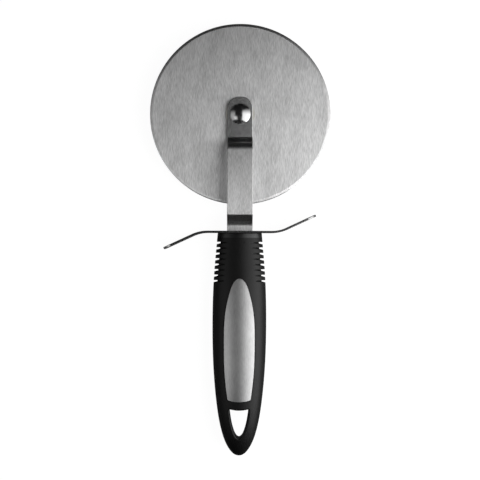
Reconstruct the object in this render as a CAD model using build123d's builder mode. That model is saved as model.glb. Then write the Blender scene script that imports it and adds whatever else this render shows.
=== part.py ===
from build123d import *
import os
from math import cos, radians, tan

# A pizza cutter with a round blade. It lies on its back on the table, Z = 0, with its front face up.
# The blade is towards +Y and the handle towards -Y, and X = 0 is the middle of both.
# Lengths are in millimetres and angles in degrees.

# Blade
blade_diameter = 100.0
blade_thickness = 1.2
bevel_width = 1.5
cutting_bevel_width = 0.4
cutting_bevel_angle = 30.0
edge_thickness = 0.16

# Axle rivet and its washers
sleeve_diameter = 6.0
stud_diameter = 3.6
rivet_head_diameter = 11.3
rivet_rim = 0.35
rivet_dome = 2.1
stud_end_gap = 0.5
washer_diameter = 16.0
washer_thickness = 0.8
side_play = 0.1
running_clearance = 0.05
fixed_clearance = 0.03

# Fork: two bent strips, each drawn by the outer face of its side view
arm_thickness = 1.2
arm_tip_width = 13.65
arm_root_width = 14.1
arm_overhang = 9.5
arm_end_share = 0.457
washer_to_joggle = 5.7
rim_to_heel = 9.75
heel_to_guard = 5.45
joggle_angle = 62.0
heel_angle = 65.0
bow_angle = 6.0
bow_share = 0.577
joggle_foot_radius = 1.9
joggle_crown_radius = 6.3
heel_crown_radius = 1.6
heel_foot_radius = 3.8
arm_edge_radius = 0.25

# Tang, the part of the strips inside the handle, and its cross pins
tang_width = 10.0
tang_length = 45.0
tang_corner_radius = 2.5
tang_clearance = 0.1
pin_diameter = 3.0
pin_length = 11.0
pin_pitch = 10.0
pin_to_tang_end = 6.0

# Finger guard: an S-shaped strip as wide as the cutter is thick
guard_thickness = 1.2
guard_width = 21.0
guard_span = 83.6
guard_bend_span = 44.0
guard_wing_angle = 25.0
guard_bend_radius = 20.0
guard_corner_radius = 5.0
guard_edge_radius = 0.25
guard_slot_clearance = 0.2

# Handle: widths follow the photographed outline, and each cross-section is an ellipse
handle_length = 123.1
handle_width = 29.8
handle_thickness = 20.0
handle_stations_share = (0.0, 0.03, 0.079, 0.153, 0.23, 0.414, 0.594, 0.751, 0.886, 0.967, 0.992)
handle_widths_share = (0.82, 0.841, 0.877, 0.929, 0.968, 1.0, 0.962, 0.851, 0.654, 0.381, 0.2)
collar_height = 2.6
collar_edge_radius = 0.4
side_skin_backing = 1.55
face_skin = 2.0
skin_joint = 0.03

# Ribs: saw-tooth grooves round the sides, which fade out towards the front and the back
rib_count = 8
rib_pitch = 3.01
rib_depth = 2.05
rib_root = 0.7
rib_slope = 15.0
rib_root_radius = 0.3
rib_overrun = 1.2
rib_start = 4.9
rib_axis_x = 2.3

# Inlay: a curved steel plate on a pad of the core, in a window of the skin
inlay_start = 24.65
inlay_width = 17.6
inlay_stations_share = (0.05, 0.1, 0.25, 0.53, 0.8, 0.985)
inlay_widths_share = (0.455, 0.605, 0.883, 1.0, 0.928, 0.755)
inlay_corner_radius = 1.4
inlay_gap = 0.4
plate_thickness = 0.6
plate_proud = 0.15
tape_thickness = 0.2

# Hanging hole
hole_to_inlay = 3.75
hole_to_end = 10.0
hole_length = 16.35
hole_width = 10.45
hole_stations_share = (0.2, 0.434, 0.813, 0.948)
hole_widths_share = (0.945, 0.83, 0.507, 0.272)
hole_top_bulge = 0.7
hole_corner_radius = 0.5
hole_rim_radius = 0.8
hole_skin = 1.5

# Room that a cut takes past the piece it cuts, and the difference at which two lengths are the same
overrun = 5.0
length_tolerance = 0.01

# Places
blade_radius = blade_diameter / 2
pivot_to_guard = blade_radius + rim_to_heel + heel_to_guard
overall_length = blade_radius + pivot_to_guard + guard_thickness / 2 + handle_length
pivot_y = overall_length / 2 - blade_radius
guard_y = pivot_y - pivot_to_guard
handle_top = guard_y - guard_thickness / 2
handle_end = handle_top - handle_length
mid_z = guard_width / 2
axle = Axis((0, pivot_y, mid_z), (0, 0, 1))
axle_plane = Plane(origin=(0, pivot_y, mid_z), x_dir=(1, 0, 0), z_dir=(0, -1, 0))
mid_plane = Plane.XY.offset(mid_z)
fork_plane = Plane.YZ
os.makedirs("parts", exist_ok=True)

# Blade: a disc with a bevel ground on both faces and a steeper cutting bevel at the edge
bore_radius = sleeve_diameter / 2 + running_clearance
shoulder_radius = blade_radius - cutting_bevel_width
shoulder_level = edge_thickness / 2 + cutting_bevel_width * tan(radians(cutting_bevel_angle))
with BuildPart() as blade:
    with BuildSketch(axle_plane):
        with BuildLine():
            Polyline(
                (bore_radius, -blade_thickness / 2),
                (blade_radius - bevel_width, -blade_thickness / 2),
                (shoulder_radius, -shoulder_level),
                (blade_radius, -edge_thickness / 2),
                (blade_radius, edge_thickness / 2),
                (shoulder_radius, shoulder_level),
                (blade_radius - bevel_width, blade_thickness / 2),
                (bore_radius, blade_thickness / 2),
                close=True,
            )
        make_face()
    revolve(axis=axle)
blade.part.label = "blade"
export_step(blade.part, "parts/blade.step")

# Washers: one on each side of the blade
washer_level = blade_thickness / 2 + side_play
for washer_name, washer_base in (
    ("front_washer", mid_z + washer_level),
    ("rear_washer", mid_z - washer_level - washer_thickness),
):
    with BuildPart() as washer:
        with BuildSketch(Plane.XY.offset(washer_base)):
            with Locations((0, pivot_y)):
                Circle(washer_diameter / 2)
                Circle(bore_radius, mode=Mode.SUBTRACT)
        extrude(amount=washer_thickness)
    washer.part.label = washer_name
    export_step(washer.part, f"parts/{washer_name}.step")

# Rivet: a domed stud in front, pressed into a domed sleeve from behind
arm_face = washer_level + washer_thickness + side_play + arm_thickness
head_radius = rivet_head_diameter / 2
head_top = arm_face + rivet_rim + rivet_dome
stud_end = stud_end_gap - arm_face
with BuildPart() as rivet_stud:
    with BuildSketch(axle_plane):
        with BuildLine():
            Polyline(
                (0, head_top),
                (0, stud_end),
                (stud_diameter / 2, stud_end),
                (stud_diameter / 2, arm_face),
                (head_radius, arm_face),
                (head_radius, arm_face + rivet_rim),
            )
            dome_radius = (head_radius**2 + rivet_dome**2) / (2 * rivet_dome)
            RadiusArc((0, head_top), (head_radius, arm_face + rivet_rim), dome_radius)
        make_face()
    revolve(axis=axle)
rivet_stud.part.label = "rivet_stud"
export_step(rivet_stud.part, "parts/rivet_stud.step")

stud_bore_radius = stud_diameter / 2 + fixed_clearance
with BuildPart() as rivet_sleeve:
    with BuildSketch(axle_plane):
        with BuildLine():
            Polyline(
                (0, -head_top),
                (0, -arm_face),
                (stud_bore_radius, -arm_face),
                (stud_bore_radius, arm_face),
                (sleeve_diameter / 2, arm_face),
                (sleeve_diameter / 2, -arm_face),
                (head_radius, -arm_face),
                (head_radius, -arm_face - rivet_rim),
            )
            RadiusArc((0, -head_top), (head_radius, -arm_face - rivet_rim), -dome_radius)
        make_face()
    revolve(axis=axle)
rivet_sleeve.part.label = "rivet_sleeve"
export_step(rivet_sleeve.part, "parts/rivet_sleeve.step")

# Front arm: its side view runs along the outer face from the rounded end to the tang's end
bow_rise = tan(radians(bow_angle))
joggle_rise = tan(radians(joggle_angle))
heel_rise = tan(radians(heel_angle))
joggle_y = pivot_y - washer_diameter / 2 - washer_to_joggle
heel_y = guard_y + heel_to_guard
bow_y = (joggle_y + heel_y) / 2
bow_radius = bow_share * (joggle_y - bow_y) / bow_rise
bow_z = mid_z + bow_radius * (1 / cos(radians(bow_angle)) - 1)
crown_y = (arm_face + joggle_rise * joggle_y - bow_z - bow_rise * bow_y) / (joggle_rise - bow_rise)
crown_z = bow_z - bow_rise * (crown_y - bow_y)
hip_y = (bow_z - bow_rise * bow_y + heel_rise * heel_y - arm_thickness) / (heel_rise - bow_rise)
hip_z = bow_z - bow_rise * (bow_y - hip_y)
tang_end = handle_top - tang_length
pin_places = [(0, tang_end + pin_to_tang_end), (0, tang_end + pin_to_tang_end + pin_pitch)]
with BuildPart() as front_arm:
    with BuildSketch(fork_plane):
        with BuildLine():
            FilletPolyline(
                (pivot_y + arm_overhang, mid_z + arm_face),
                (joggle_y, mid_z + arm_face),
                (crown_y, mid_z + crown_z),
                (bow_y, mid_z + bow_z),
                (hip_y, mid_z + hip_z),
                (heel_y, mid_z + arm_thickness),
                (tang_end, mid_z + arm_thickness),
                radius=(
                    joggle_foot_radius,
                    joggle_crown_radius,
                    bow_radius,
                    heel_crown_radius,
                    heel_foot_radius,
                ),
            )
            offset(amount=arm_thickness, side=Side.LEFT)
        make_face()
    extrude(amount=arm_root_width, both=True)
    with BuildSketch(Plane.XY):
        with BuildLine():
            Polyline(
                (arm_tip_width / 2, pivot_y + arm_overhang),
                (arm_tip_width / 2, pivot_y),
                (arm_root_width / 2, hip_y),
                (arm_root_width / 2, guard_y + guard_thickness / 2),
                (tang_width / 2, guard_y + guard_thickness / 2),
                (tang_width / 2, tang_end),
                (-tang_width / 2, tang_end),
                (-tang_width / 2, guard_y + guard_thickness / 2),
                (-arm_root_width / 2, guard_y + guard_thickness / 2),
                (-arm_root_width / 2, hip_y),
                (-arm_tip_width / 2, pivot_y),
                (-arm_tip_width / 2, pivot_y + arm_overhang),
                close=True,
            )
        outline = make_face()
        fillet(outline.vertices().group_by(Axis.Y)[-1], radius=arm_end_share * arm_tip_width)
        fillet(outline.vertices().group_by(Axis.Y)[0], radius=tang_corner_radius)
    extrude(amount=guard_width + overrun, mode=Mode.INTERSECT)
    arm_rim = front_arm.edges().filter_by(Axis.Z, reverse=True).filter_by(
        lambda edge: edge.bounding_box().size.X < arm_tip_width / 2
        and edge.bounding_box().min.Y > guard_y + guard_thickness
    )
    fillet(arm_rim, radius=arm_edge_radius)
    with Locations((0, pivot_y, mid_z)):
        Hole(sleeve_diameter / 2 + fixed_clearance)
    with Locations(*[(x, y, mid_z) for x, y in pin_places]):
        Hole(pin_diameter / 2 + fixed_clearance)
front_arm.part.label = "front_arm"
export_step(front_arm.part, "parts/front_arm.step")

# Rear arm: the same strip, mirrored in the blade's middle plane
with BuildPart() as rear_arm:
    add(front_arm.part)
    mirror(about=mid_plane, mode=Mode.REPLACE)
rear_arm.part.label = "rear_arm"
export_step(rear_arm.part, "parts/rear_arm.step")

# Finger guard: the right wing leans towards the blade and the left wing towards the handle
wing_reach = (guard_span - guard_bend_span) / 2
wing_rise = wing_reach * tan(radians(guard_wing_angle))
with BuildPart() as finger_guard:
    with BuildSketch(Plane.XY):
        with BuildLine():
            FilletPolyline(
                (-guard_span / 2, guard_y - wing_rise),
                (-guard_bend_span / 2, guard_y),
                (guard_bend_span / 2, guard_y),
                (guard_span / 2, guard_y + wing_rise),
                radius=guard_bend_radius,
            )
        trace(line_width=guard_thickness)
    extrude(amount=guard_width)
    wing_corners = finger_guard.edges().filter_by(
        lambda edge: abs(edge.length - guard_thickness) < length_tolerance
    )
    fillet(wing_corners, radius=guard_corner_radius)
    guard_rim = finger_guard.edges().filter_by(
        lambda edge: abs(edge.length - guard_thickness) > length_tolerance
        and abs(edge.length - guard_width) > length_tolerance
    )
    fillet(guard_rim, radius=guard_edge_radius)
    with BuildSketch(Plane.XZ.offset(-guard_y)):
        with Locations((0, mid_z)):
            Rectangle(
                tang_width + 2 * guard_slot_clearance,
                2 * arm_thickness + 2 * guard_slot_clearance,
            )
    extrude(amount=guard_thickness, both=True, mode=Mode.SUBTRACT)
finger_guard.part.label = "finger_guard"
export_step(finger_guard.part, "parts/finger_guard.step")


# Places along the handle
inlay_top = handle_top - inlay_start
hole_bottom = handle_end + hole_to_end
hole_top = hole_bottom + hole_length
inlay_end = hole_top + hole_to_inlay
inlay_length = inlay_top - inlay_end
collar_y = handle_top - collar_height
side_skin = rib_depth + side_skin_backing
pad_inset = plate_thickness - plate_proud + tape_thickness


def half_width(station):
    """The handle's half width at a share of its length, read between the stations."""
    table = list(zip(handle_stations_share, handle_widths_share))
    for (upper, upper_share), (lower, lower_share) in zip(table, table[1:]):
        if upper <= station <= lower:
            step = (station - upper) / (lower - upper)
            return (upper_share + (lower_share - upper_share) * step) * handle_width / 2
    return 0


def handle_form(side_inset, face_inset):
    """The handle's outer shape of elliptical sections, drawn in at its sides and at its faces."""
    widest = handle_width / 2 - side_inset
    thickest = handle_thickness / 2 - face_inset
    length = handle_length - side_inset
    sections = []
    for station, share in zip(handle_stations_share, handle_widths_share):
        with BuildSketch(Plane.XZ.offset(station * length - handle_top)) as section:
            with Locations((0, mid_z)):
                Ellipse(share * widest, share * thickest)
        sections.append(section.sketch)
    with BuildPart() as form:
        loft([*sections, Vertex(0, handle_top - length, mid_z)])
    return form.part


def inlay_outline(margin):
    """The inlay's outline in plan, wider and longer all round by a margin."""
    half, length = inlay_width / 2 + margin, inlay_length + 2 * margin
    top, end = inlay_top + margin, inlay_end - margin
    side_points = [
        (share * half, top - station * length)
        for station, share in zip(inlay_stations_share, inlay_widths_share)
    ]
    corner_x, corner_y = side_points[-1]
    inward = (-half / length, -1)
    with BuildSketch(mid_plane) as outline:
        with BuildLine():
            Spline((0, top), *side_points, tangents=[(1, 0), inward], tangent_scalars=[1, 1])
            mirror(about=Plane.YZ)
            ThreePointArc((corner_x, corner_y), (0, end), (-corner_x, corner_y))
        make_face()
        lower_corners = outline.vertices().sort_by(Axis.Y)[:2]
        fillet(lower_corners, radius=inlay_corner_radius + margin)
    return outline.sketch


def hole_outline(margin):
    """The hanging hole's outline in plan, wider and longer all round by a margin."""
    half, length = hole_width / 2 + margin, hole_length + 2 * margin
    top, bottom = hole_top + margin, hole_bottom - margin
    side_points = [
        (share * half, top - station * length)
        for station, share in zip(hole_stations_share, hole_widths_share)
    ]
    down, inward = (0, -1), (-1, 0)
    with BuildSketch(mid_plane) as outline:
        with BuildLine():
            side_points = [(half, top), *side_points, (0, bottom)]
            Spline(*side_points, tangents=[down, inward], tangent_scalars=[1, 1])
            mirror(about=Plane.YZ)
            ThreePointArc((half, top), (0, top - hole_top_bulge), (-half, top))
        make_face()
        upper_corners = outline.vertices().sort_by(Axis.Y)[-2:]
        fillet(upper_corners, radius=hole_corner_radius + margin)
    return outline.sketch


# Forms that the core, the skin and the inlay share
outer_form = handle_form(0, 0)
core_form = handle_form(side_skin, face_skin)
pad_form = handle_form(pad_inset, pad_inset)

# Collar: the top of the core, as wide as the skin below it
with BuildPart() as collar:
    add(outer_form)
    split(bisect_by=Plane.XZ.offset(-collar_y), keep=Keep.BOTTOM)
    fillet(collar.edges().group_by(Axis.Y)[-1], radius=collar_edge_radius)

# Pad: the part of the core that carries the inlay
with BuildPart() as pad:
    add(inlay_outline(0))
    extrude(amount=handle_thickness / 2)
    add(pad_form, mode=Mode.INTERSECT)

# Handle core: its slot holds the two tangs, and the cross pins go in from the pad
with BuildPart() as handle_core:
    add(core_form)
    add(collar.part)
    add(pad.part)
    with BuildSketch(Plane.XZ.offset(-handle_top)):
        with Locations((0, mid_z)):
            Rectangle(tang_width + 2 * tang_clearance, 2 * (arm_thickness + tang_clearance))
    extrude(amount=tang_length + tang_clearance, mode=Mode.SUBTRACT)
    with BuildSketch(Plane.XY.offset(mid_z - pin_length / 2)):
        with Locations(*pin_places):
            Circle(pin_diameter / 2 + fixed_clearance)
    extrude(amount=handle_thickness, mode=Mode.SUBTRACT)
    add(hole_outline(hole_skin))
    extrude(amount=handle_thickness, both=True, mode=Mode.SUBTRACT)
handle_core.part.label = "handle_core"
export_step(handle_core.part, "parts/handle_core.step")

# Cross pins through the core and both tangs
with BuildPart() as tang_pins:
    with BuildSketch(Plane.XY.offset(mid_z - pin_length / 2)):
        with Locations(*pin_places):
            Circle(pin_diameter / 2)
    extrude(amount=pin_length)
tang_pins.part.label = "tang_pins"
export_step(tang_pins.part, "parts/tang_pins.step")

# Rib cutter: half rings of saw-tooth section, rounder than the handle so that they leave its faces
rib_plane = Plane(origin=(rib_axis_x, 0, mid_z), x_dir=(0, 0, 1), z_dir=(-1, 0, 0))
with BuildPart() as rib_cutter:
    with BuildSketch(rib_plane):
        for rib in range(rib_count):
            groove_top = handle_top - rib_start - rib * rib_pitch
            root = half_width((handle_top - groove_top) / handle_length) - rib_depth - rib_axis_x
            mouth = root + rib_depth + rib_overrun
            root_y = groove_top - rib_root
            mouth_y = root_y - (mouth - root) * tan(radians(rib_slope))
            with BuildLine():
                FilletPolyline(
                    (mouth, groove_top),
                    (root, groove_top),
                    (root, root_y),
                    (mouth, mouth_y),
                    radius=rib_root_radius,
                )
                Line((mouth, mouth_y), (mouth, groove_top))
            make_face()
    revolve(axis=Axis((rib_axis_x, 0, mid_z), (0, 1, 0)), revolution_arc=180)
    mirror(about=Plane.YZ)

# Cavity of the skin, a joint wider than the core; the skin lines the hanging hole too
with BuildPart() as cavity:
    add(handle_form(side_skin - skin_joint, face_skin - skin_joint))
    add(hole_outline(hole_skin - skin_joint))
    extrude(amount=handle_thickness, both=True, mode=Mode.SUBTRACT)

# Soft skin: moulded over the core, with the ribs, the inlay's window and the hanging hole
with BuildPart() as soft_grip:
    add(outer_form)
    split(bisect_by=Plane.XZ.offset(-collar_y), keep=Keep.TOP)
    add(rib_cutter.part, mode=Mode.SUBTRACT)
    add(hole_outline(0))
    extrude(amount=handle_thickness, both=True, mode=Mode.SUBTRACT)
    hole_rim = soft_grip.edges().filter_by(
        lambda edge: edge.bounding_box().min.Y > hole_bottom - length_tolerance
        and edge.bounding_box().max.Y < hole_top + length_tolerance
        and edge.bounding_box().size.Z < handle_thickness / 4
    )
    fillet(hole_rim, radius=hole_rim_radius)
    add(cavity.part, mode=Mode.SUBTRACT)
    add(inlay_outline(skin_joint))
    extrude(amount=handle_thickness, mode=Mode.SUBTRACT)
soft_grip.part.label = "soft_grip"
export_step(soft_grip.part, "parts/soft_grip.step")

# Adhesive tape and steel plate of the inlay, both curved like the handle
tape_inset = plate_thickness - plate_proud
with BuildPart() as inlay_tape:
    add(inlay_outline(-2 * inlay_gap))
    extrude(amount=handle_thickness)
    add(handle_form(tape_inset, tape_inset), mode=Mode.INTERSECT)
    add(pad_form, mode=Mode.SUBTRACT)
inlay_tape.part.label = "inlay_tape"
export_step(inlay_tape.part, "parts/inlay_tape.step")

with BuildPart() as inlay_plate:
    add(inlay_outline(-inlay_gap))
    extrude(amount=handle_thickness)
    add(handle_form(-plate_proud, -plate_proud), mode=Mode.INTERSECT)
    add(handle_form(tape_inset, tape_inset), mode=Mode.SUBTRACT)
inlay_plate.part.label = "inlay_plate"
export_step(inlay_plate.part, "parts/inlay_plate.step")
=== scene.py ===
"""A wheel pizza cutter with a soft ribbed handle, lying on a pale floor under soft studio light."""

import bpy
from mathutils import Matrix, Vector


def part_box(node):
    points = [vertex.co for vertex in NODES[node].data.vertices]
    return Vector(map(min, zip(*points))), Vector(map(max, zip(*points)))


bl_info = {
    "name": "Wheel Pizza Cutter",
    "version": (1, 0, 0),
    "blender": (4, 5, 0),
    "location": "3D View > Sidebar > Cutter",
    "description": "Finishes a wheel pizza cutter in brushed steel and black rubber and sets up its studio",
    "category": "Object",
}

import math

import bpy
from mathutils import Matrix, Vector

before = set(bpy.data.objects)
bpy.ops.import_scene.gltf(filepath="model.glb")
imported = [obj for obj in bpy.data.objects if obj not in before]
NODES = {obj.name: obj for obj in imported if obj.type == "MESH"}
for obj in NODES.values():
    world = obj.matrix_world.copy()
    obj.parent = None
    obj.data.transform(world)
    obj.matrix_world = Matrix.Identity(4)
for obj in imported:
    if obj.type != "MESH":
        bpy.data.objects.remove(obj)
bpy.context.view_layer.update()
MM = 0.001
MICRON = 1e-6
X, Y = 0, 1
MIDDLE_Z = sum(corner.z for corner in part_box("blade")) / 2

# The range that most of a noise falls in, and the noise's middle
NOISE_LOW, NOISE_HIGH = 0.3, 0.7
NOISE_MIDDLE = 0.5

# Broad patches under the steel's streaks, as multiples of a streak's width, length and strength, and
# how far from its middle the sum of streaks and patches gives the full contrast
PATCH_WIDTH_SHARE = 28
PATCH_LENGTH_SHARE = 7
PATCH_STRENGTH_SHARE = 0.6
GRAIN_SPREAD = 0.3

# The fork's strip is bright as far as this from the rivet's edge, and grows dull over the next length
BRIGHT_REACH = 9 * MM
DULLING_LENGTH = 6 * MM

# The ends of the long softboxes in Y: past the handle's end and past the blade's far rim, in metres
SOFTBOX_NEAR = -0.2
SOFTBOX_FAR = 0.28

# Floor, in metres, and camera: lens, place over the cutter's middle plane and turn in radians
FLOOR_REACH = 6.0
SENSOR_MM = 36
LENS_MM = 98.2
CAMERA_PLACE = (0.15 * MM, -0.2 * MM)
CAMERA_HEIGHT = 0.725
CAMERA_ROLL = 0.0045


def linear(code):
    """An sRGB hex colour as linear RGBA."""
    channels = [int(code[i:i + 2], 16) / 255 for i in (1, 3, 5)]
    return [c / 12.92 if c <= 0.04045 else ((c + 0.055) / 1.055) ** 2.4 for c in channels] + [1.0]


def put(tree, kind, sockets=None, **settings):
    """Adds a node, makes its settings, and fills or links its sockets."""
    node = tree.nodes.new(kind)
    for name, value in settings.items():
        setattr(node, name, value)
    for key, value in (sockets or {}).items():
        if isinstance(value, bpy.types.NodeSocket):
            tree.links.new(value, node.inputs[key])
        else:
            node.inputs[key].default_value = value
    return node


def object_place(tree):
    """The place on the piece, in its own coordinates."""
    return put(tree, "ShaderNodeTexCoord").outputs["Object"]


def noise(tree, place, size, detail):
    """Round noise with lumps of one size."""
    return put(tree, "ShaderNodeTexNoise", {
        "Vector": place, "Scale": 1 / size, "Detail": detail,
    }).outputs["Fac"]


def mapped(tree, value, start, end, low, high, curve="LINEAR"):
    """Draws the values from start to end out to those from low to high, and holds the rest there."""
    return put(tree, "ShaderNodeMapRange", {
        "Value": value, "From Min": start, "From Max": end, "To Min": low, "To Max": high,
    }, interpolation_type=curve).outputs[0]


def shaded(tree, colour, shade):
    """A colour made darker or lighter by a factor."""
    return put(tree, "ShaderNodeVectorMath", {0: linear(colour)[:3], "Scale": shade},
               operation="SCALE").outputs[0]


def relief(tree, height, depth_um):
    """The normals of a surface with fine relief of one depth."""
    return put(tree, "ShaderNodeBump", {
        "Height": height, "Strength": 1.0, "Distance": depth_um * MICRON,
    }).outputs[0]


def empty_material(name):
    """A material that holds nothing yet, and its node tree."""
    material = bpy.data.materials.new(name)
    material.use_nodes = True
    material.node_tree.nodes.clear()
    return material, material.node_tree


def finish_with(tree, surface):
    """Ends a material's tree with its surface."""
    put(tree, "ShaderNodeOutputMaterial", {"Surface": surface})


def wear(node_name, material):
    """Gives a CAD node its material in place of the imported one."""
    mesh = NODES[node_name].data
    mesh.materials.clear()
    mesh.materials.append(material)


def streaks(tree, place, across_mm, along_mm, turn_degrees, along_axis):
    """Noise drawn out into short streaks along one axis, turned a little from it."""
    turned = put(tree, "ShaderNodeMapping", {
        "Vector": place,
        "Rotation": (0, 0, math.radians(turn_degrees)),
    })
    size = [across_mm * MM] * 3
    size[along_axis] = along_mm * MM
    drawn_out = put(tree, "ShaderNodeMapping", {
        "Vector": turned.outputs[0],
        "Scale": [1 / s for s in size],
    })
    return put(tree, "ShaderNodeTexNoise", {
        "Vector": drawn_out.outputs[0], "Scale": 1.0, "Detail": 2.0, "Roughness": 0.6,
    }).outputs["Fac"]


def brushed_steel(name, colour, roughness, anisotropy, grain_axis, across_axis,
                  across_mm, along_mm, contrast, slant=8.0, bump_um=2.0, dulling=None):
    """Stainless steel, ground with a belt: fine scratches in one direction, which spread a
    reflection across them and show as short light and dark streaks that cross at a small angle.
    With dulling, the roughness changes along Y between its two pairs of place and value."""
    material, tree = empty_material(name)
    place = object_place(tree)
    first = streaks(tree, place, across_mm, along_mm, slant, grain_axis)
    second = streaks(tree, place, across_mm, along_mm, -slant, grain_axis)
    both = put(tree, "ShaderNodeMath", {0: first, 1: second}, operation="ADD").outputs[0]
    patches = streaks(tree, place, PATCH_WIDTH_SHARE * across_mm, PATCH_LENGTH_SHARE * along_mm,
                      slant / 2, grain_axis)
    grain = put(tree, "ShaderNodeMath", {0: patches, 1: PATCH_STRENGTH_SHARE, 2: both},
                operation="MULTIPLY_ADD").outputs[0]
    middle = NOISE_MIDDLE * (2 + PATCH_STRENGTH_SHARE)
    shade = mapped(tree, grain, middle - GRAIN_SPREAD, middle + GRAIN_SPREAD, 1 - contrast, 1 + contrast)
    if dulling:
        along = put(tree, "ShaderNodeSeparateXYZ", {0: place}).outputs["Y"]
        (dull_y, dull), (bright_y, bright) = dulling
        roughness = mapped(tree, along, dull_y, bright_y, dull, bright, "SMOOTHSTEP")
    hairlines = streaks(tree, place, across_mm / 3, along_mm, slant / 2, grain_axis)
    across = [0.0, 0.0, 0.0]
    across[across_axis] = 1.0
    tangent = put(tree, "ShaderNodeVectorTransform", {"Vector": across},
                  vector_type="VECTOR", convert_from="OBJECT", convert_to="WORLD").outputs[0]
    shader = put(tree, "ShaderNodeBsdfPrincipled", {
        "Base Color": shaded(tree, colour, shade), "Metallic": 1.0, "Roughness": roughness,
        "Anisotropic": anisotropy, "Tangent": tangent, "Normal": relief(tree, hairlines, bump_um),
    })
    finish_with(tree, shader.outputs[0])
    return material


def polished_steel(name, colour, roughness, cloud_mm=1.5, haze_share=0.3):
    """Stainless steel, turned and buffed: sharp reflections with faint cloudy buffing marks."""
    material, tree = empty_material(name)
    clouds = noise(tree, object_place(tree), cloud_mm * MM, 3.0)
    haze = mapped(tree, clouds, NOISE_LOW, NOISE_HIGH,
                  roughness * (1 - haze_share), roughness * (1 + haze_share))
    shader = put(tree, "ShaderNodeBsdfPrincipled", {
        "Base Color": linear(colour), "Metallic": 1.0, "Roughness": haze,
    })
    finish_with(tree, shader.outputs[0])
    return material


def moulded(name, colour, roughness, specular, grit_mm, grit_um, mottle=0.15, cloud_mm=9, unevenness=0.05):
    """A moulded plastic or rubber with the mould's fine grit and slightly uneven colour and gloss."""
    material, tree = empty_material(name)
    place = object_place(tree)
    grit = noise(tree, place, grit_mm * MM, 4.0)
    clouds = noise(tree, place, cloud_mm * MM, 3.0)
    shade = mapped(tree, clouds, NOISE_LOW, NOISE_HIGH, 1 - mottle, 1 + mottle)
    dullness = mapped(tree, grit, NOISE_LOW, NOISE_HIGH, roughness - unevenness, roughness + unevenness)
    shader = put(tree, "ShaderNodeBsdfPrincipled", {
        "Base Color": shaded(tree, colour, shade), "Roughness": dullness,
        "Specular IOR Level": specular, "IOR": 1.5, "Normal": relief(tree, grit, grit_um),
    })
    finish_with(tree, shader.outputs[0])
    return material


class SteelSettings(bpy.types.PropertyGroup):
    """Colours and grain of the steel pieces."""

    blade_colour: bpy.props.StringProperty(
        name="Blade colour", description="sRGB hex colour of the blade", default="#d3d3d3")
    strip_colour: bpy.props.StringProperty(
        name="Strip colour", description="sRGB hex colour of the fork's strips", default="#bcbcbc")
    guard_colour: bpy.props.StringProperty(
        name="Guard colour", description="sRGB hex colour of the finger guard", default="#a6a6a6")
    rivet_colour: bpy.props.StringProperty(
        name="Rivet colour", description="sRGB hex colour of the rivet", default="#aeaeae")
    grain_width: bpy.props.FloatProperty(
        name="Grain width", description="Width of a grinding streak in millimetres",
        default=0.35, min=0.05, max=3.0)
    grain_length: bpy.props.FloatProperty(
        name="Grain length", description="Length of a grinding streak in millimetres",
        default=3.5, min=0.5, max=40.0)


class HandleSettings(bpy.types.PropertyGroup):
    """Colours of the handle, and the grain of its inlay."""

    rubber_colour: bpy.props.StringProperty(
        name="Rubber colour", description="sRGB hex colour of the soft grip", default="#0b0b0b")
    collar_colour: bpy.props.StringProperty(
        name="Collar colour", description="sRGB hex colour of the hard core", default="#0b0b0b")
    inlay_colour: bpy.props.StringProperty(
        name="Inlay colour", description="sRGB hex colour of the steel inlay", default="#9e9e9e")
    inlay_grain_length: bpy.props.FloatProperty(
        name="Inlay grain length", description="Length of a streak on the inlay in millimetres",
        default=3.0, min=0.5, max=40.0)


class StudioSettings(bpy.types.PropertyGroup):
    """Strengths of the softboxes, the strip light, the dim room and the floor."""

    right_strength: bpy.props.FloatProperty(
        name="Right softbox", description="Radiance of the softbox on the right", default=2.2, min=0.0)
    strip_strength: bpy.props.FloatProperty(
        name="Right strip", description="Radiance of the strip light low on the right",
        default=2.5, min=0.0)
    left_strength: bpy.props.FloatProperty(
        name="Left softbox", description="Radiance of the softbox on the left", default=0.75, min=0.0)
    handle_strength: bpy.props.FloatProperty(
        name="Handle softbox", description="Radiance of the small softbox over the handle's left",
        default=1.25, min=0.0)
    dim_strength: bpy.props.FloatProperty(
        name="Dim room", description="Radiance of the room round the softboxes", default=0.015, min=0.0)
    floor_glow: bpy.props.FloatProperty(
        name="Floor glow", description="How white the floor is before its shadows", default=0.95,
        min=0.0, max=1.0)


class CUTTER_OT_blade(bpy.types.Operator):
    """Grind the blade's faces along the handle's direction"""

    bl_idname = "cutter.blade"
    bl_label = "Finish Blade"

    def execute(self, context):
        steel = context.scene.cutter_steel
        wear("blade", brushed_steel(
            "belt_ground_stainless_blade", steel.blade_colour, roughness=0.45, anisotropy=0.9,
            grain_axis=Y, across_axis=X, across_mm=steel.grain_width, along_mm=steel.grain_length,
            contrast=0.24))
        return {"FINISHED"}


class CUTTER_OT_rivet(bpy.types.Operator):
    """Polish the axle rivet and give its washers their natural nylon"""

    bl_idname = "cutter.rivet"
    bl_label = "Finish Rivet and Washers"

    def execute(self, context):
        polished = polished_steel(
            "buffed_stainless_rivet", context.scene.cutter_steel.rivet_colour, roughness=0.2)
        for name in ("rivet_stud", "rivet_sleeve"):
            wear(name, polished)
        nylon = moulded(
            "moulded_natural_nylon", "#c4c2bc", roughness=0.45, specular=0.5, grit_mm=0.2, grit_um=4.0)
        for name in ("front_washer", "rear_washer"):
            wear(name, nylon)
        return {"FINISHED"}


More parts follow.
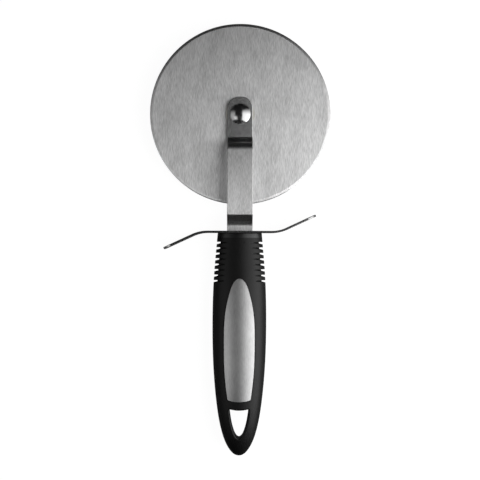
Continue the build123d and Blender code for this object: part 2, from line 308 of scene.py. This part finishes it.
class CUTTER_OT_fork(bpy.types.Operator):
    """Give the two bent strips of the fork, and the pins in the handle, a satin finish"""

    bl_idname = "cutter.fork"
    bl_label = "Finish Fork"

    def execute(self, context):
        steel = context.scene.cutter_steel
        bright_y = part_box("rivet_stud")[0].y - BRIGHT_REACH
        dull, bright = 0.42, 0.22
        strip = brushed_steel(
            "satin_stainless_strip", steel.strip_colour, roughness=dull, anisotropy=0.9,
            grain_axis=Y, across_axis=X, across_mm=steel.grain_width, along_mm=steel.grain_length,
            contrast=0.25, dulling=((bright_y - DULLING_LENGTH, dull), (bright_y, bright)))
        for name in ("front_arm", "rear_arm", "tang_pins"):
            wear(name, strip)
        return {"FINISHED"}


class CUTTER_OT_guard(bpy.types.Operator):
    """Give the finger guard a satin finish along its length"""

    bl_idname = "cutter.guard"
    bl_label = "Finish Guard"

    def execute(self, context):
        steel = context.scene.cutter_steel
        wear("finger_guard", brushed_steel(
            "satin_stainless_guard", steel.guard_colour, roughness=0.25, anisotropy=0.3,
            grain_axis=X, across_axis=Y, across_mm=steel.grain_width, along_mm=steel.grain_length,
            contrast=0.12))
        return {"FINISHED"}


class CUTTER_OT_handle(bpy.types.Operator):
    """Give the handle its rubber skin, its hard core and the tape under the inlay"""

    bl_idname = "cutter.handle"
    bl_label = "Finish Handle"

    def execute(self, context):
        handle = context.scene.cutter_handle
        wear("soft_grip", moulded(
            "moulded_soft_rubber", handle.rubber_colour, roughness=0.46, specular=0.24,
            grit_mm=0.25, grit_um=6.0))
        wear("handle_core", moulded(
            "moulded_nylon_core", handle.collar_colour, roughness=0.36, specular=0.5,
            grit_mm=0.3, grit_um=3.0))
        wear("inlay_tape", moulded(
            "foam_tape", "#202020", roughness=0.8, specular=0.3, grit_mm=0.3, grit_um=8.0))
        return {"FINISHED"}


class CUTTER_OT_inlay(bpy.types.Operator):
    """Give the inlay plate its fine brushed finish"""

    bl_idname = "cutter.inlay"
    bl_label = "Finish Inlay"

    def execute(self, context):
        handle, steel = context.scene.cutter_handle, context.scene.cutter_steel
        wear("inlay_plate", brushed_steel(
            "fine_brushed_stainless_inlay", handle.inlay_colour, roughness=0.36, anisotropy=0.6,
            grain_axis=Y, across_axis=X, across_mm=steel.grain_width,
            along_mm=handle.inlay_grain_length, contrast=0.12))
        return {"FINISHED"}


def floor_material(glow):
    """White card: seen nearly white, with the cutter's soft shadow left in it, and reflected grey."""
    material, tree = empty_material("white_card_floor")
    seen = put(tree, "ShaderNodeLightPath").outputs["Is Camera Ray"]
    card = put(tree, "ShaderNodeBsdfDiffuse", {"Color": linear("#8c8c8c")}).outputs[0]
    shadowed = put(tree, "ShaderNodeBsdfDiffuse", {"Color": linear("#707070")}).outputs[0]
    white = put(tree, "ShaderNodeEmission", {"Color": linear("#ffffff"), "Strength": glow}).outputs[0]
    pale = put(tree, "ShaderNodeAddShader", {0: shadowed, 1: white}).outputs[0]
    mixed = put(tree, "ShaderNodeMixShader", {0: seen, 1: card, 2: pale}).outputs[0]
    finish_with(tree, mixed)
    return material


def lay_floor(glow):
    """A wide flat floor under the cutter."""
    card = bpy.data.meshes.new("floor")
    corners = [(-FLOOR_REACH, -FLOOR_REACH, 0), (FLOOR_REACH, -FLOOR_REACH, 0),
               (FLOOR_REACH, FLOOR_REACH, 0), (-FLOOR_REACH, FLOOR_REACH, 0)]
    card.from_pydata(corners, [], [(0, 1, 2, 3)])
    floor = bpy.data.objects.new("floor", card)
    bpy.context.scene.collection.objects.link(floor)
    card.materials.append(floor_material(glow))


def softbox(name, radiance, inner, outer, inner_fade, far_fade, near=SOFTBOX_NEAR, far=SOFTBOX_FAR):
    """A long softbox beside the cutter, between two edges in X and Z. Its light fades out towards its
    inner edge and towards the blade's end, over shares of its width and length."""
    lamp = bpy.data.lights.new(name, "AREA")
    left, right = (Vector((x, 0, z)) for x, z in sorted((inner, outer)))
    across, along = (right - left).normalized(), Vector((0, 1, 0))
    lamp.shape = "RECTANGLE"
    lamp.size = (right - left).length
    lamp.size_y = far - near
    lamp.energy = radiance * math.pi * lamp.size * lamp.size_y
    lamp.use_nodes = True
    tree = lamp.node_tree
    tree.nodes.clear()
    place = put(tree, "ShaderNodeNewGeometry").outputs["Parametric"]
    shares = put(tree, "ShaderNodeSeparateXYZ", {0: place}).outputs
    inner_end = 0.0 if inner < outer else 1.0
    inward = mapped(tree, shares["X"], inner_end, abs(inner_end - inner_fade), 0, 1, "SMOOTHSTEP")
    onward = mapped(tree, shares["Y"], 1.0, 1.0 - far_fade, 0, 1, "SMOOTHSTEP")
    faded = put(tree, "ShaderNodeMath", {0: inward, 1: onward}, operation="MULTIPLY").outputs[0]
    glow = put(tree, "ShaderNodeEmission", {"Color": linear("#ffffff"), "Strength": faded})
    put(tree, "ShaderNodeOutputLight", {"Surface": glow.outputs[0]})
    rig = bpy.data.objects.new(name, lamp)
    bpy.context.scene.collection.objects.link(rig)
    turn = Matrix((across, along, across.cross(along))).transposed()
    middle = (left + right + along * (near + far)) / 2
    rig.matrix_world = Matrix.Translation(middle) @ turn.to_4x4()
    rig.visible_camera = False


def studio_world(dim):
    """A dim room; the camera sees white all round."""
    world = bpy.data.worlds.new("studio")
    world.use_nodes = True
    tree = world.node_tree
    tree.nodes.clear()
    seen = put(tree, "ShaderNodeLightPath").outputs["Is Camera Ray"]
    strength = put(tree, "ShaderNodeMath", {0: seen, 1: dim}, operation="MAXIMUM").outputs[0]
    glow = put(tree, "ShaderNodeBackground", {"Color": linear("#ffffff"), "Strength": strength})
    put(tree, "ShaderNodeOutputWorld", {"Surface": glow.outputs[0]})
    return world


def hang_camera(scene):
    """The camera straight above the cutter, turned a hair as the photographed one lies."""
    lens = bpy.data.cameras.new("camera")
    lens.sensor_width = SENSOR_MM
    lens.lens = LENS_MM
    camera = bpy.data.objects.new("camera", lens)
    camera.location = (*CAMERA_PLACE, MIDDLE_Z + CAMERA_HEIGHT)
    camera.rotation_euler = (0, 0, CAMERA_ROLL)
    scene.collection.objects.link(camera)
    scene.camera = camera


class CUTTER_OT_stage(bpy.types.Operator):
    """Set up the floor, the softboxes, the strip light, the world and the camera above the cutter"""

    bl_idname = "cutter.stage"
    bl_label = "Set Up Studio"

    def execute(self, context):
        scene = context.scene
        studio = scene.cutter_studio
        lay_floor(studio.floor_glow)
        softbox("right_softbox", studio.right_strength, inner=(0.07, 0.31), outer=(0.3, 0.02),
                inner_fade=0.12, far_fade=0.5)
        softbox("right_strip", studio.strip_strength, inner=(0.19, 0.21), outer=(0.26, 0.05),
                inner_fade=0.4, far_fade=0.6, far=0.12)
        softbox("left_softbox", studio.left_strength, inner=(-0.22, 0.33), outer=(-0.34, 0.1),
                inner_fade=0.3, far_fade=0.5)
        softbox("handle_softbox", studio.handle_strength, inner=(-0.12, 0.34), outer=(-0.25, 0.25),
                inner_fade=0.4, far_fade=0.3, far=0.0)
        scene.world = studio_world(studio.dim_strength)
        hang_camera(scene)
        scene.view_settings.view_transform = "Standard"
        return {"FINISHED"}


class CUTTER_PT_panel(bpy.types.Panel):
    """Finishes of the cutter and its studio"""

    bl_idname = "CUTTER_PT_panel"
    bl_label = "Pizza Cutter"
    bl_space_type = "VIEW_3D"
    bl_region_type = "UI"
    bl_category = "Cutter"

    def draw(self, context):
        scene = context.scene
        for group in (scene.cutter_steel, scene.cutter_handle, scene.cutter_studio):
            box = self.layout.box()
            for name in group.__annotations__:
                box.prop(group, name)
        for operator in OPERATORS:
            self.layout.operator(operator.bl_idname)


OPERATORS = (CUTTER_OT_blade, CUTTER_OT_rivet, CUTTER_OT_fork, CUTTER_OT_guard,
             CUTTER_OT_handle, CUTTER_OT_inlay, CUTTER_OT_stage)
GROUPS = {"cutter_steel": SteelSettings, "cutter_handle": HandleSettings, "cutter_studio": StudioSettings}


def register():
    for name, group in GROUPS.items():
        bpy.utils.register_class(group)
        setattr(bpy.types.Scene, name, bpy.props.PointerProperty(type=group))
    for kind in (*OPERATORS, CUTTER_PT_panel):
        bpy.utils.register_class(kind)


def unregister():
    for kind in (CUTTER_PT_panel, *reversed(OPERATORS)):
        bpy.utils.unregister_class(kind)
    for name, group in GROUPS.items():
        delattr(bpy.types.Scene, name)
        bpy.utils.unregister_class(group)


def main():
    register()
    for operator in OPERATORS:
        group, name = operator.bl_idname.split(".")
        getattr(getattr(bpy.ops, group), name)()


if __name__ == "__main__":
    main()
